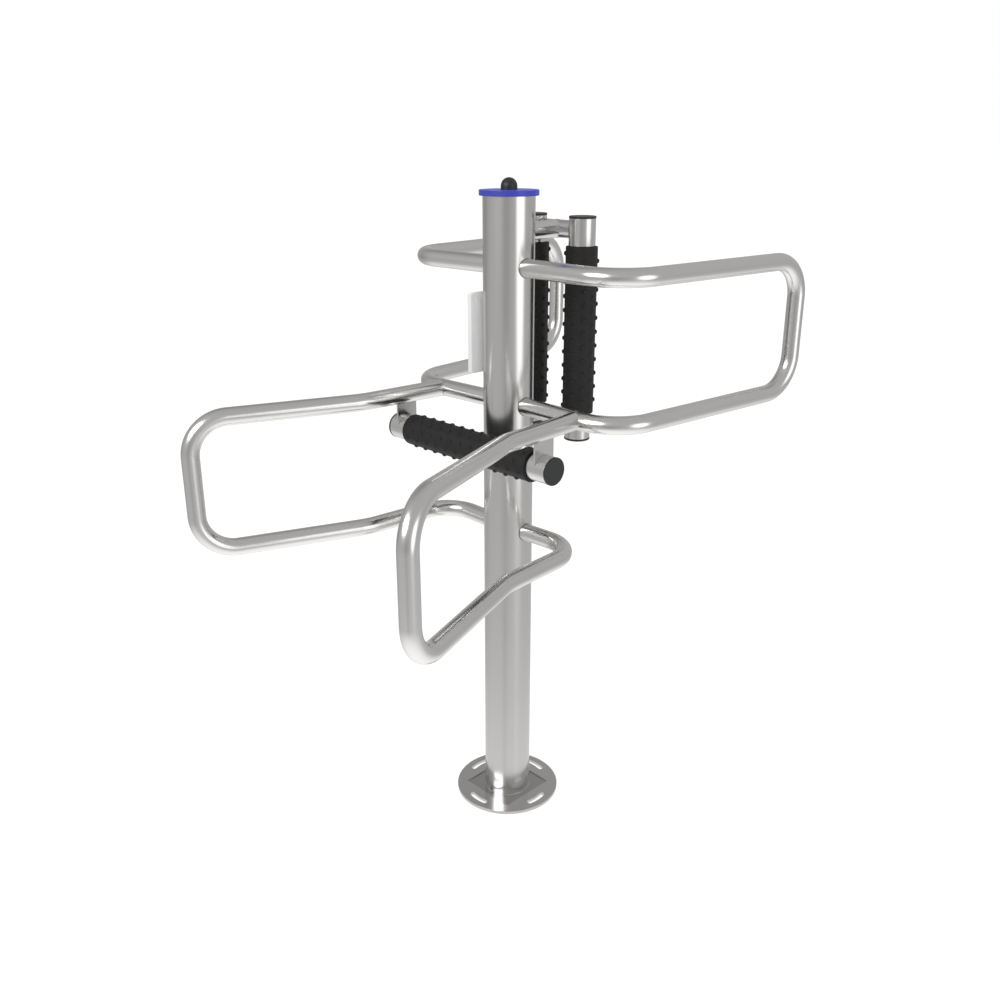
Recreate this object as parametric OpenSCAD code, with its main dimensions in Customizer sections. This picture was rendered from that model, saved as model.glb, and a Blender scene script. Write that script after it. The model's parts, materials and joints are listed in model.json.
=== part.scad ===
// Outdoor massage station for a park or street.
// One steel post on a round base flange carries two exercise sides, back to back.
// The +Y side has two upright studded rollers and a pair of high handles.
// The -Y side has one level studded roller at waist height and a pair of low handles.
// Origin: centre of the flange's underside, on the ground. +Z is up, +X is to the right
// of a person who looks along +Y. All sizes are in millimetres and degrees.

/* [Post] */
// Outside diameter of the post tube
post_d = 114.3; // [101.6:0.1:139.7]
// Wall thickness of the post tube
post_wall = 3; // [2:0.5:5]
// Height of the post's top edge above the ground
post_top_z = 1488; // [1460:1:1560]
// Diameter of the drain hole low in the post
drain_d = 6; // [4:0.5:8]

/* [Base flange] */
// Diameter of the base flange
flange_d = 260; // [250:1:320]
// Thickness of the base flange
flange_t = 8; // [6:0.5:12]
// Side of the square recess that the post stands in
recess_side = 148; // [142:1:150]
// Depth of the square recess
recess_depth = 3; // [1:0.5:4]
// Radius of the circle that the anchor slots lie on
slot_circle_r = 106; // [102:1:110]
// Width of an anchor slot
slot_w = 13; // [10:0.5:14]
// Angle between the end centres of an anchor slot
slot_angle = 24; // [10:1:30]

/* [Top cap] */
// Diameter of the plastic cap disc
cap_d = 130; // [124:1:160]
// Thickness of the cap disc
cap_t = 12; // [8:0.5:16]
// Depth of the cap's spigot inside the post
cap_spigot = 15; // [10:1:20]
// Diameter of the dome over the cap bolt
dome_d = 36; // [30:1:44]
// Height of the dome
dome_h = 25; // [23:1:32]
// Thread diameter of the cap bolt
cap_bolt_d = 10; // [8:1:12]

/* [Sign panel] */
// Width of the blank sign panel
sign_w = 120; // [90:1:130]
// Height of the blank sign panel
sign_h = 180; // [160:1:220]
// Thickness of the sign panel
sign_t = 12; // [8:0.5:16]
// Distance from the post's top edge down to the sign panel's centre
sign_drop = 297; // [285:1:330]

/* [Handle tube] */
// Outside diameter of the handle and bracket tube
tube_d = 40; // [34:0.5:44]
// Wall thickness of the handle and bracket tube
tube_wall = 2; // [1.5:0.25:3]
// Radius of the corners between the level and the upright runs
corner_r = 85; // [70:1:100]
// Distance from the post's top edge down to the tube axis of the highest run
top_level_drop = 148; // [135:1:180]
// Height of the high handles' loop between its tube axes
high_loop_h = 305; // [280:1:315]
// Height of the low handles' loop between its tube axes
low_loop_h = 305; // [280:1:335]

/* [High handles] */
// Sideways distance of the high handles' bend
high_bend_x = 324; // [310:1:340]
// Distance that the high handles sweep back before the bend
high_sweep = 13; // [4:1:16]
// Radius of the high handles' bend
high_bend_r = 103; // [90:1:115]
// Sideways distance of the high handles' upright run
high_corner_x = 378; // [360:1:400]
// Forward distance of the high handles' upright run
high_corner_y = 572; // [540:1:600]

/* [Low handles] */
// Sideways distance of the low handles' bend beside the post
low_bend_x = 214; // [205:1:222]
// Distance that the low handles sweep back before the bend
low_sweep = 9; // [2:1:12]
// Radius of the low handles' bend beside the post
low_bend_r = 86; // [70:1:95]
// Sideways distance of the low handles' kink
kink_x = 232; // [225:1:240]
// Forward distance of the low handles' kink
kink_y = 239; // [228:1:255]
// Radius of the low handles' kink
kink_r = 150; // [100:1:200]
// Sideways distance of the low handles' upright run
low_corner_x = 369; // [350:1:390]
// Forward distance of the low handles' upright run
low_corner_y = 605; // [570:1:640]

/* [Rollers] */
// Length of an upright roller over its end caps
roller_len = 510; // [490:1:530]
// Length of the steel sleeves at the ends of the upright rollers
upright_sleeve_len = 59; // [56:1:70]
// Length of the steel sleeves at the ends of the waist roller
waist_sleeve_len = 51; // [46:1:60]
// Diameter of the fixed steel sleeves at the roller ends
sleeve_d = 60; // [56:0.5:64]
// Wall thickness of the end sleeves
sleeve_wall = 3; // [2:0.5:4]
// Thickness of the plastic disc that closes a sleeve
end_cap_t = 5; // [3:0.5:8]
// Diameter of the plastic disc that closes a sleeve
end_cap_d = 61; // [61:0.5:66]
// Diameter of the rubber grip without its studs
grip_d = 72; // [68:0.5:76]
// Diameter of the steel tube under the grip
core_d = 60; // [54:0.5:62]
// Wall thickness of the steel tube under the grip
core_wall = 2; // [1.5:0.25:3]
// Diameter of the roller axle
axle_d = 20; // [18:0.5:22]
// Outside diameter of the ball bearings
bearing_d = 42; // [38:0.5:46]
// Width of the ball bearings
bearing_w = 12; // [10:0.5:14]

/* [Studs on the grips] */
// Diameter of a rubber stud at the grip's surface
stud_d = 10; // [8:0.5:12]
// Height of a rubber stud above the grip's surface
stud_h = 4; // [2:0.5:5]
// Number of stud rows round a grip
stud_rows = 10; // [6:2:12]
// Number of studs in every other row
studs_per_row = 12; // [8:1:14]

/* [Roller places] */
// Sideways distance of the upright rollers
roller_x = 74; // [66:1:84]
// Forward distance of the upright rollers
roller_y = 156; // [150:1:180]
// Distance from the post's top edge down to the upright rollers' middle
roller_drop = 301; // [288:1:310]
// Distance from a roller end to the axis of its crossbar
bar_inset = 31; // [28:1:34]
// Forward distance of the waist roller
waist_y = 119; // [112:1:140]
// Distance from the middle runs' axis down to the waist roller's axis
waist_drop = 81; // [70:1:95]
// Distance from the waist roller's end to the middle of its hanger plate
hanger_inset = 32.4; // [28:0.1:38]
// Thickness of the plates that hang the waist roller
plate_t = 5; // [4:0.5:8]
// Width of the plates that hang the waist roller
plate_w = 56; // [40:1:58]

/* [Hidden] */
$fn = 48;

// Clearances and the length by which a cut runs past what it cuts
weld_gap = 0.2;
seat_gap = 0.1;
running_gap = 0.05;
glue_gap = 0.7;
end_gap = 1;
overrun = 2;

// A bend comes out of the bending tool a little thicker than the straight tube,
// and the straight tube runs a short way into it
bend_swell = 0.3;
splice = 1;

// Small sizes of the post, the flange and the cap
post_id = post_d - 2 * post_wall;
post_foot_z = flange_t - recess_depth;
drain_z = post_foot_z + drain_d;
cap_spigot_wall = 3;
cap_edge = 1.5;
bridge_w = 30;
bridge_t = 6;
bridge_z = post_top_z - cap_spigot - 2 * bridge_t;
bolt_head_w = 1.7 * cap_bolt_d;
bolt_head_h = 0.64 * cap_bolt_d;
bolt_hole_d = cap_bolt_d + 2 * seat_gap;
dome_shoulder_h = dome_h - dome_d / 2;

// Small sizes of the sign panel and its screws
sign_corner_r = 6;
sign_gap = weld_gap;
screw_d = 6;
screw_hole_d = screw_d + 2 * seat_gap;
screw_head_d = 12;
screw_head_h = 3.5;
screw_spread_share = 0.34;
screw_grip = post_wall + sign_gap + sign_t;
screw_tail = 8;

// Small sizes of the rollers
cap_plug_len = 12;
cap_plug_wall = 3;
lip_t = 3;
lip_d = bearing_d - 2 * lip_t;
hub_t = 14;
axle_tail = 7;
clip_t = 1.2;
clip_depth = 0.8;
clip_ring = 3;
clip_gap_angle = 50;
grip_edge_r = 2;
core_id = core_d - 2 * core_wall;
sleeve_id = sleeve_d - 2 * sleeve_wall;

// Heights of the handles' runs, the sign panel and the rollers, all hung from the post's top
top_level_z = post_top_z - top_level_drop;
mid_level_z = top_level_z - high_loop_h;
low_level_z = mid_level_z - low_loop_h;
sign_z = post_top_z - sign_drop;
roller_z = post_top_z - roller_drop;
waist_z = mid_level_z - waist_drop;

// Heights of the two crossbars that carry the upright rollers
top_bar_z = roller_z + roller_len / 2 - bar_inset;
bottom_bar_z = roller_z - roller_len / 2 + bar_inset;

// Plan of the handles on the right, seen from above
high_plan = [[0, 0], [high_bend_x, -high_sweep], [high_corner_x, high_corner_y]];
low_plan = [[0, 0], [low_bend_x, low_sweep], [kink_x, -kink_y], [low_corner_x, -low_corner_y]];
// The low handle's upper tube starts on the axis of the high handle's lower tube
branch = [low_bend_x, -high_sweep * low_bend_x / high_bend_x];
branch_plan = [branch, [kink_x, -kink_y], [low_corner_x, -low_corner_y]];
// Place on the branch's first leg that is straight above the waist roller
hanger_x = low_bend_x + (kink_x - low_bend_x) * (waist_y + branch[1]) / (kink_y + branch[1]);

// Length of the waist roller, and of the grips between the sleeves
waist_len = 2 * (hanger_x + hanger_inset);
upright_grip_len = roller_len - 2 * (end_cap_t + upright_sleeve_len + end_gap);
waist_grip_len = waist_len - 2 * (end_cap_t + waist_sleeve_len + end_gap);

// Colours
steel = [0.72, 0.72, 0.71];
black_plastic = [0.16, 0.17, 0.17];
rubber = [0.13, 0.13, 0.13];
cap_blue = [0.22, 0.24, 0.72];
panel_white = [0.93, 0.93, 0.93];

// Direction of a leg from a to b, and the turn from one leg to the next
function heading(a, b) = atan2(b[1] - a[1], b[0] - a[0]);
function turn(a, b, c) = heading(b, c) - heading(a, b);
// Point at a distance from a towards b, and the length that a bend takes from each leg
function along(a, b, distance) = a + (b - a) * distance / norm(b - a);
function setback(a, b, c, r) = r * tan(abs(turn(a, b, c)) / 2);

// Tube profile and straight tube
module tube_ring() {
    difference() {
        circle(d = tube_d);
        circle(d = tube_d - 2 * tube_wall);
    }
}

module straight_tube(length) {
    linear_extrude(length) tube_ring();
}

// Round rod of diameter d along a leg. It runs splice past each trimmed end, into the bend.
module leg(a, b, trim_a, trim_b, d) {
    run_a = trim_a > 0 ? trim_a - splice : 0;
    run_b = trim_b > 0 ? trim_b - splice : 0;
    translate(along(a, b, run_a))
        rotate([0, 90, heading(a, b)])
            cylinder(d = d, h = norm(b - a) - run_a - run_b);
}

// Level bend at b, between the legs from a and to c
module level_bend(a, b, c, r, d) {
    side = sign(turn(a, b, c));
    sweep = abs(turn(a, b, c));
    first_angle = side > 0 ? -90 : 90 - sweep;
    translate(along(b, a, setback(a, b, c, r)))
        rotate([0, 0, heading(a, b)])
            translate([0, side * r])
                rotate([0, 0, first_angle])
                    rotate_extrude(angle = sweep) translate([r, 0]) circle(d = d + bend_swell);
}

// Quarter bend from the level leg a to b down into the upright run at b
module corner_bend(a, b, r, d) {
    translate(along(b, a, r))
        rotate([90, 0, heading(a, b)])
            translate([0, -r])
                rotate_extrude(angle = 90) translate([r, 0]) circle(d = d + bend_swell);
}

// Level run of a high handle, from the post to the corner
module high_run(d) {
    bend_cut = setback(high_plan[0], high_plan[1], high_plan[2], high_bend_r);
    leg(high_plan[0], high_plan[1], 0, bend_cut, d);
    level_bend(high_plan[0], high_plan[1], high_plan[2], high_bend_r, d);
    leg(high_plan[1], high_plan[2], bend_cut, corner_r, d);
    corner_bend(high_plan[1], high_plan[2], corner_r, d);
}

// Level run of a low handle, from the post to the corner
module low_run(d) {
    bend_cut = setback(low_plan[0], low_plan[1], low_plan[2], low_bend_r);
    kink_cut = setback(low_plan[1], low_plan[2], low_plan[3], kink_r);
    leg(low_plan[0], low_plan[1], 0, bend_cut, d);
    level_bend(low_plan[0], low_plan[1], low_plan[2], low_bend_r, d);
    leg(low_plan[1], low_plan[2], bend_cut, kink_cut, d);
    level_bend(low_plan[1], low_plan[2], low_plan[3], kink_r, d);
    leg(low_plan[2], low_plan[3], kink_cut, corner_r, d);
    corner_bend(low_plan[2], low_plan[3], corner_r, d);
}

// Upper run of a low handle, from the high handle's tube to the corner
module branch_run(d) {
    kink_cut = setback(branch_plan[0], branch_plan[1], branch_plan[2], kink_r);
    leg(branch_plan[0], branch_plan[1], 0, kink_cut, d);
    level_bend(branch_plan[0], branch_plan[1], branch_plan[2], kink_r, d);
    leg(branch_plan[1], branch_plan[2], kink_cut, corner_r, d);
    corner_bend(branch_plan[1], branch_plan[2], corner_r, d);
}

module upright_run(place, low_z, high_z, d) {
    translate([place[0], place[1], low_z + corner_r - splice])
        cylinder(d = d, h = high_z - low_z - 2 * corner_r + 2 * splice);
}

module post_cope() {
    cylinder(d = post_d + 2 * weld_gap, h = post_top_z);
}

module high_loop(d) {
    translate([0, 0, top_level_z]) high_run(d);
    translate([0, 0, mid_level_z]) mirror([0, 0, 1]) high_run(d);
    upright_run(high_plan[2], mid_level_z, top_level_z, d);
}

module low_loop(d) {
    translate([0, 0, mid_level_z]) branch_run(d);
    translate([0, 0, low_level_z]) mirror([0, 0, 1]) low_run(d);
    upright_run(low_plan[3], low_level_z, mid_level_z, d);
}

module high_handle() {
    color(steel) difference() {
        high_loop(tube_d);
        high_loop(tube_d - 2 * tube_wall);
        post_cope();
    }
}

module low_handle() {
    color(steel) difference() {
        low_loop(tube_d);
        low_loop(tube_d - 2 * tube_wall);
        post_cope();
        translate([0, 0, mid_level_z])
            leg(high_plan[0], high_plan[1], 0, 0, tube_d + 2 * weld_gap);
    }
}

module high_right_handle() {
    high_handle();
}

module high_left_handle() {
    mirror([1, 0, 0]) high_handle();
}

module low_right_handle() {
    low_handle();
}

module low_left_handle() {
    mirror([1, 0, 0]) low_handle();
}

module post() {
    color(steel) difference() {
        translate([0, 0, post_foot_z])
            linear_extrude(post_top_z - post_foot_z)
                difference() {
                    circle(d = post_d);
                    circle(d = post_id);
                }
        translate([0, 0, drain_z]) rotate([90, 0, 0]) cylinder(d = drain_d, h = post_d);
        sign_screw_holes();
    }
}

// Curved anchor slot on the +X axis
module anchor_slot() {
    slot_cut_h = flange_t + 2 * overrun;
    translate([0, 0, -overrun]) {
        rotate([0, 0, -slot_angle / 2])
            rotate_extrude(angle = slot_angle)
                translate([slot_circle_r - slot_w / 2, 0])
                    square([slot_w, slot_cut_h]);
        for (side = [-1, 1])
            rotate([0, 0, side * slot_angle / 2])
                translate([slot_circle_r, 0])
                    cylinder(d = slot_w, h = slot_cut_h);
    }
}

module base_flange() {
    color(steel) difference() {
        cylinder(d = flange_d, h = flange_t);
        translate([-recess_side / 2, -recess_side / 2, post_foot_z])
            cube([recess_side, recess_side, recess_depth + overrun]);
        for (quarter = [0 : 3]) rotate([0, 0, 90 * quarter]) anchor_slot();
    }
}

module top_cap() {
    spigot_d = post_id - 2 * seat_gap;
    color(cap_blue) difference() {
        rotate_extrude() polygon([
            [0, post_top_z],
            [spigot_d / 2 - cap_spigot_wall, post_top_z],
            [spigot_d / 2 - cap_spigot_wall, post_top_z - cap_spigot],
            [spigot_d / 2, post_top_z - cap_spigot],
            [spigot_d / 2, post_top_z],
            [cap_d / 2 - cap_edge, post_top_z],
            [cap_d / 2, post_top_z + cap_edge],
            [cap_d / 2, post_top_z + cap_t - cap_edge],
            [cap_d / 2 - cap_edge, post_top_z + cap_t],
            [0, post_top_z + cap_t]]);
        translate([0, 0, post_top_z - overrun])
            cylinder(d = bolt_hole_d, h = cap_t + 2 * overrun);
    }
}

// Flat bar across the inside of the post, which the cap bolt screws into
module cap_bridge() {
    color(steel) difference() {
        translate([0, 0, bridge_z]) intersection() {
            cylinder(d = post_id - 2 * seat_gap, h = bridge_t);
            translate([-post_d / 2, -bridge_w / 2, 0]) cube([post_d, bridge_w, bridge_t]);
        }
        translate([0, 0, bridge_z - overrun])
            cylinder(d = bolt_hole_d, h = bridge_t + 2 * overrun);
    }
}

module cap_bolt() {
    color(steel) {
        translate([0, 0, post_top_z + cap_t])
            cylinder(d = bolt_head_w, h = bolt_head_h, $fn = 6);
        translate([0, 0, bridge_z - overrun])
            cylinder(d = cap_bolt_d, h = post_top_z + cap_t - bridge_z + overrun);
    }
}

module cap_dome() {
    color(black_plastic) translate([0, 0, post_top_z + cap_t]) difference() {
        union() {
            cylinder(d = dome_d, h = dome_shoulder_h);
            translate([0, 0, dome_shoulder_h]) difference() {
                sphere(d = dome_d);
                translate([-dome_d, -dome_d, -2 * dome_d]) cube(2 * dome_d);
            }
        }
        translate([0, 0, -overrun])
            cylinder(d = bolt_head_w + 2 * seat_gap, h = bolt_head_h + seat_gap + overrun);
    }
}

// Places the children at both sign screws, pointing along +X from the panel's outer face
module at_sign_screws() {
    for (side = [-1, 1])
        translate([-post_d / 2 - sign_gap - sign_t, 0, sign_z + side * screw_spread_share * sign_h])
            rotate([0, 90, 0]) children();
}

module sign_screw_holes() {
    at_sign_screws()
        translate([0, 0, -overrun])
            cylinder(d = screw_hole_d, h = screw_grip + screw_tail);
}

module sign_panel() {
    color(panel_white) difference() {
        translate([-post_d / 2 - sign_gap, 0, sign_z])
            rotate([0, -90, 0])
                linear_extrude(sign_t)
                    rounded_plate(sign_h, sign_w, sign_corner_r);
        sign_screw_holes();
    }
}

// Outline of a plate with round corners, centred
module rounded_plate(x, y, r) {
    difference() {
        square([x, y], center = true);
        for (sx = [-1, 1], sy = [-1, 1])
            translate([sx * (x / 2 - r), sy * (y / 2 - r)])
                scale([sx, sy])
                    difference() {
                        square(r + overrun);
                        circle(r = r);
                    }
    }
}

module sign_screws() {
    color(steel) at_sign_screws() {
        cylinder(d = screw_d, h = screw_grip + screw_tail);
        translate([0, 0, -screw_head_h])
            cylinder(d1 = screw_head_d - 2 * screw_head_h, d2 = screw_head_d, h = screw_head_h);
    }
}

// Crossbar between the sleeves of the two upright rollers, coped to fit round them
module crossbar(z) {
    color(steel) difference() {
        translate([-roller_x, roller_y, z]) rotate([0, 90, 0]) straight_tube(2 * roller_x);
        for (side = [-1, 1])
            translate([side * roller_x, roller_y, z])
                cylinder(d = sleeve_d + 2 * weld_gap, h = roller_len, center = true);
    }
}

// Stub from the post to the middle of a crossbar, coped at both ends
module stub(z) {
    color(steel) difference() {
        translate([0, 0, z]) rotate([-90, 0, 0]) straight_tube(roller_y);
        post_cope();
        translate([-roller_x, roller_y, z])
            rotate([0, 90, 0]) cylinder(d = tube_d + 2 * weld_gap, h = 2 * roller_x);
    }
}

module top_stub() {
    stub(top_bar_z);
}

module top_crossbar() {
    crossbar(top_bar_z);
}

module bottom_stub() {
    stub(bottom_bar_z);
}

module bottom_crossbar() {
    crossbar(bottom_bar_z);
}

// Plate between the low handle's upper tube and a sleeve of the waist roller
module hanger_plate() {
    color(steel) difference() {
        translate([hanger_x - plate_t / 2, -waist_y - plate_w / 2, waist_z])
            cube([plate_t, plate_w, mid_level_z - waist_z]);
        at_waist_roller() cylinder(d = sleeve_d + 2 * weld_gap, h = waist_len, center = true);
        translate([0, 0, mid_level_z])
            leg(branch_plan[0], branch_plan[1], 0, 0, tube_d + 2 * weld_gap);
    }
}

module right_hanger_plate() {
    hanger_plate();
}

module left_hanger_plate() {
    mirror([1, 0, 0]) hanger_plate();
}

// Roller pieces, each about its own axis with the roller's middle at the origin.
// A sleeve is fixed and holds a bearing, and the grip turns between the two sleeves.
module sleeve(grip_len, sleeve_len) {
    inner_end = grip_len / 2 + end_gap;
    outer_end = inner_end + sleeve_len;
    seat_d = bearing_d + 2 * seat_gap;
    color(steel) rotate_extrude() polygon([
        [lip_d / 2, inner_end],
        [sleeve_d / 2, inner_end],
        [sleeve_d / 2, outer_end],
        [sleeve_id / 2, outer_end],
        [sleeve_id / 2, inner_end + lip_t + bearing_w],
        [seat_d / 2, inner_end + lip_t + bearing_w],
        [seat_d / 2, inner_end + lip_t],
        [lip_d / 2, inner_end + lip_t]]);
}

module end_cap(length) {
    plug_d = sleeve_id - 2 * seat_gap;
    face_z = length / 2;
    color(black_plastic) rotate_extrude() polygon([
        [0, face_z - end_cap_t],
        [plug_d / 2 - cap_plug_wall, face_z - end_cap_t],
        [plug_d / 2 - cap_plug_wall, face_z - end_cap_t - cap_plug_len],
        [plug_d / 2, face_z - end_cap_t - cap_plug_len],
        [plug_d / 2, face_z - end_cap_t],
        [end_cap_d / 2, face_z - end_cap_t],
        [end_cap_d / 2, face_z - end_cap_t / 3],
        [end_cap_d / 2 - end_cap_t / 3, face_z],
        [0, face_z]]);
}

module both_ends() {
    children();
    mirror([0, 0, 1]) children();
}

module bearing(grip_len) {
    bearing_bore = axle_d + 2 * running_gap;
    color(steel) translate([0, 0, grip_len / 2 + end_gap + lip_t])
        linear_extrude(bearing_w)
            difference() {
                circle(d = bearing_d);
                circle(d = bearing_bore);
            }
}

module axle(grip_len) {
    clip_z = grip_len / 2 + end_gap + lip_t + bearing_w + seat_gap;
    axle_end = clip_z + axle_tail;
    color(steel) difference() {
        translate([0, 0, -axle_end]) cylinder(d = axle_d, h = 2 * axle_end);
        both_ends() translate([0, 0, clip_z]) linear_extrude(clip_t + 2 * seat_gap) difference() {
            circle(d = axle_d + overrun);
            circle(d = axle_d - 2 * clip_depth);
        }
    }
}

module circlip(grip_len) {
    clip_z = grip_len / 2 + end_gap + lip_t + bearing_w + 2 * seat_gap;
    inner_d = axle_d - 2 * clip_depth + 2 * seat_gap;
    outer_d = inner_d + 2 * clip_ring;
    color(steel) translate([0, 0, clip_z])
        rotate([0, 0, clip_gap_angle / 2])
            rotate_extrude(angle = 360 - clip_gap_angle)
                translate([inner_d / 2, 0])
                    square([clip_ring, clip_t]);
}

module hub(grip_len) {
    color(steel) translate([0, 0, grip_len / 2 - hub_t])
        linear_extrude(hub_t)
            difference() {
                circle(d = core_id - 2 * seat_gap);
                circle(d = axle_d + 2 * seat_gap);
            }
}

module core(grip_len) {
    color(steel) translate([0, 0, -grip_len / 2])
        linear_extrude(grip_len)
            difference() {
                circle(d = core_d);
                circle(d = core_id);
            }
}

// Rubber grip with rows of domed studs, every other row set half a pitch along.
// The bore is cut last, so that no stud reaches through the rubber into it.
module grip(grip_len) {
    bore_r = core_d / 2 + glue_gap;
    stud_pitch = grip_len / studs_per_row;
    // Sphere that rises stud_h above the grip and is stud_d wide at its surface
    stud_r = (stud_h * stud_h + stud_d * stud_d / 4) / (2 * stud_h);
    color(rubber) difference() {
        union() {
            rotate_extrude() polygon([
                [0, -grip_len / 2],
                [grip_d / 2 - grip_edge_r, -grip_len / 2],
                [grip_d / 2, -grip_len / 2 + grip_edge_r],
                [grip_d / 2, grip_len / 2 - grip_edge_r],
                [grip_d / 2 - grip_edge_r, grip_len / 2],
                [0, grip_len / 2]]);
            for (row = [0 : stud_rows - 1], k = [0 : studs_per_row - 1 - row % 2])
                rotate([0, 0, 360 * row / stud_rows])
                    translate([grip_d / 2 + stud_h - stud_r, 0,
                               -grip_len / 2 + stud_pitch * (k + (row % 2 + 1) / 2)])
                        sphere(r = stud_r, $fn = 16);
        }
        translate([0, 0, -grip_len / 2 - overrun])
            cylinder(r = bore_r, h = grip_len + 2 * overrun);
    }
}

module at_right_roller() {
    translate([roller_x, roller_y, roller_z]) children();
}

module at_left_roller() {
    translate([-roller_x, roller_y, roller_z]) mirror([1, 0, 0]) children();
}

module at_waist_roller() {
    translate([0, -waist_y, waist_z]) rotate([0, 90, 0]) children();
}

module right_roller_top_sleeve() {
    at_right_roller() sleeve(upright_grip_len, upright_sleeve_len);
}

module right_roller_bottom_sleeve() {
    at_right_roller() mirror([0, 0, 1]) sleeve(upright_grip_len, upright_sleeve_len);
}

module right_roller_end_caps() {
    at_right_roller() both_ends() end_cap(roller_len);
}

module right_roller_bearings() {
    at_right_roller() both_ends() bearing(upright_grip_len);
}

module right_roller_axle() {
    at_right_roller() axle(upright_grip_len);
}

module right_roller_circlips() {
    at_right_roller() both_ends() circlip(upright_grip_len);
}

module right_roller_hubs() {
    at_right_roller() both_ends() hub(upright_grip_len);
}

module right_roller_core() {
    at_right_roller() core(upright_grip_len);
}

module right_roller_grip() {
    at_right_roller() grip(upright_grip_len);
}

module left_roller_top_sleeve() {
    at_left_roller() sleeve(upright_grip_len, upright_sleeve_len);
}

module left_roller_bottom_sleeve() {
    at_left_roller() mirror([0, 0, 1]) sleeve(upright_grip_len, upright_sleeve_len);
}

module left_roller_end_caps() {
    at_left_roller() both_ends() end_cap(roller_len);
}

module left_roller_bearings() {
    at_left_roller() both_ends() bearing(upright_grip_len);
}

module left_roller_axle() {
    at_left_roller() axle(upright_grip_len);
}

module left_roller_circlips() {
    at_left_roller() both_ends() circlip(upright_grip_len);
}

module left_roller_hubs() {
    at_left_roller() both_ends() hub(upright_grip_len);
}

module left_roller_core() {
    at_left_roller() core(upright_grip_len);
}

module left_roller_grip() {
    at_left_roller() grip(upright_grip_len);
}

module waist_roller_right_sleeve() {
    at_waist_roller() sleeve(waist_grip_len, waist_sleeve_len);
}

module waist_roller_left_sleeve() {
    at_waist_roller() mirror([0, 0, 1]) sleeve(waist_grip_len, waist_sleeve_len);
}

module waist_roller_end_caps() {
    at_waist_roller() both_ends() end_cap(waist_len);
}

module waist_roller_bearings() {
    at_waist_roller() both_ends() bearing(waist_grip_len);
}

module waist_roller_axle() {
    at_waist_roller() axle(waist_grip_len);
}

module waist_roller_circlips() {
    at_waist_roller() both_ends() circlip(waist_grip_len);
}

module waist_roller_hubs() {
    at_waist_roller() both_ends() hub(waist_grip_len);
}

module waist_roller_core() {
    at_waist_roller() core(waist_grip_len);
}

module waist_roller_grip() {
    at_waist_roller() grip(waist_grip_len);
}

post();
base_flange();
top_cap();
cap_bridge();
cap_bolt();
cap_dome();
sign_panel();
sign_screws();
high_right_handle();
high_left_handle();
low_right_handle();
low_left_handle();
top_stub();
top_crossbar();
bottom_stub();
bottom_crossbar();
right_hanger_plate();
left_hanger_plate();
right_roller_top_sleeve();
right_roller_bottom_sleeve();
right_roller_end_caps();
right_roller_bearings();
right_roller_axle();
right_roller_circlips();
right_roller_hubs();
right_roller_core();
right_roller_grip();
left_roller_top_sleeve();
left_roller_bottom_sleeve();
left_roller_end_caps();
left_roller_bearings();
left_roller_axle();
left_roller_circlips();
left_roller_hubs();
left_roller_core();
left_roller_grip();
waist_roller_right_sleeve();
waist_roller_left_sleeve();
waist_roller_end_caps();
waist_roller_bearings();
waist_roller_axle();
waist_roller_circlips();
waist_roller_hubs();
waist_roller_core();
waist_roller_grip();
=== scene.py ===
import json
import math

import bpy
from mathutils import Matrix, Vector


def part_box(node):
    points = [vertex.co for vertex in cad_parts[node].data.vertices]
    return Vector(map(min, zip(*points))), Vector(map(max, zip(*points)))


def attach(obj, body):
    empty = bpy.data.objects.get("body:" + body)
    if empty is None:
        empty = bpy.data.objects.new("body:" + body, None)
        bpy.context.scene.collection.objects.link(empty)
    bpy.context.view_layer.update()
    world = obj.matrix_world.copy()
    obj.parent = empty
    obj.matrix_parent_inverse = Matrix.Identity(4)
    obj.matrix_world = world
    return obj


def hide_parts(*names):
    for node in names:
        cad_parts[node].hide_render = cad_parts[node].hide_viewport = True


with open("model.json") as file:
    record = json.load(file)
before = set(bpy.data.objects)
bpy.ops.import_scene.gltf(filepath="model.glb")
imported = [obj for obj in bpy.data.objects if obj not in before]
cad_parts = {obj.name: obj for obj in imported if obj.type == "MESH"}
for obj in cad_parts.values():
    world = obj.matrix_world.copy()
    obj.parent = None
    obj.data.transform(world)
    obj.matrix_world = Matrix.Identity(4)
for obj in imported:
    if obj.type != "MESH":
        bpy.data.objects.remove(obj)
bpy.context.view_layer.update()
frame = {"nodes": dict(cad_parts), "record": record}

# Outdoor massage station: a steel post with studded rollers and bent tube handles.
# Everything is in metres and stands where the CAD frame stands: origin on the ground
# under the post, +Z up, +Y towards the two upright rollers.
mm = 0.001
X_AXIS, Y_AXIS, Z_AXIS = Vector((1, 0, 0)), Vector((0, 1, 0)), Vector((0, 0, 1))

# Handle tube: the corners that its axis runs through, and the radius of each bend
TUBE_R = 20 * mm
TOP_LEVEL, MID_LEVEL, LOW_LEVEL = 1340 * mm, 1035 * mm, 730 * mm
HIGH_BEND, HIGH_CORNER = (324 * mm, -13 * mm), (378 * mm, 572 * mm)
LOW_BEND, KINK, LOW_CORNER = (214 * mm, 9 * mm), (232 * mm, -239 * mm), (369 * mm, -605 * mm)
HIGH_BEND_R, LOW_BEND_R, KINK_R, CORNER_R = 103 * mm, 86 * mm, 150 * mm, 85 * mm
BRANCH = (LOW_BEND[0], HIGH_BEND[1] * LOW_BEND[0] / HIGH_BEND[0])

# A tube's welded end stops hidden inside its carrier, this far from the carrier's axis
FROM_POST_AXIS, FROM_TUBE_AXIS, FROM_SLEEVE_AXIS = 50 * mm, 10 * mm, 20 * mm

# Walls and inner sizes that the finished station shows only at an edge or a hole
POST_WALL = 3 * mm
DRAIN_R = 3 * mm
SLEEVE_WALL = 3 * mm
SLEEVE_LIP_R, SLEEVE_LIP_T = 18 * mm, 3 * mm

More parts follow.
